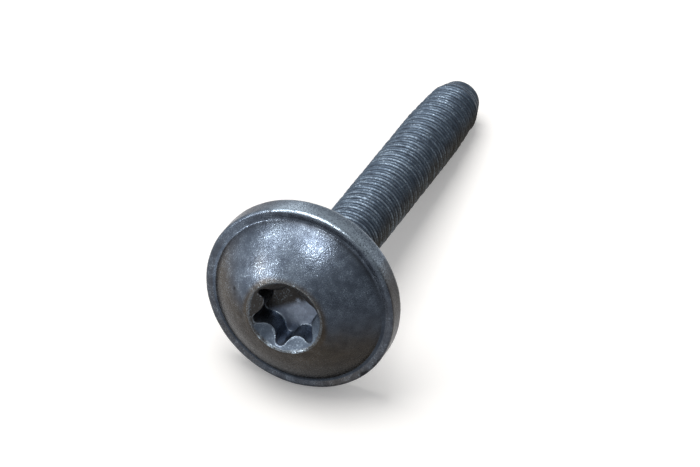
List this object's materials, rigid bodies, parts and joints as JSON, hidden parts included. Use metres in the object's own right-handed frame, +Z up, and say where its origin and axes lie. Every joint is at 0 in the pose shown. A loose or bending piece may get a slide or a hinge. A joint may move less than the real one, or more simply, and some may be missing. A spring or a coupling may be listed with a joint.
{
  "type": "machine screw",
  "caption": "Machine screw with a wide domed flange head, a six-lobe drive recess, a metric thread, a tapered lead and a pilot point, lying at rest.",
  "frame": {"origin": "on the surface the screw lies on, under the middle of its bounding box", "axes": "+Z up from the surface, +X along the screw from the head to the point, seen from above; the axis of the screw dips 10.02 degrees towards the point"},
  "size_m": [0.0462, 0.019, 0.019],
  "materials": {
    "plated_steel": "dull dark blue-grey coating, satin, worn and speckled on the dome"
  },
  "bodies": {
    "root": {"screw": "plated_steel"}
  },
  "joints": []
}
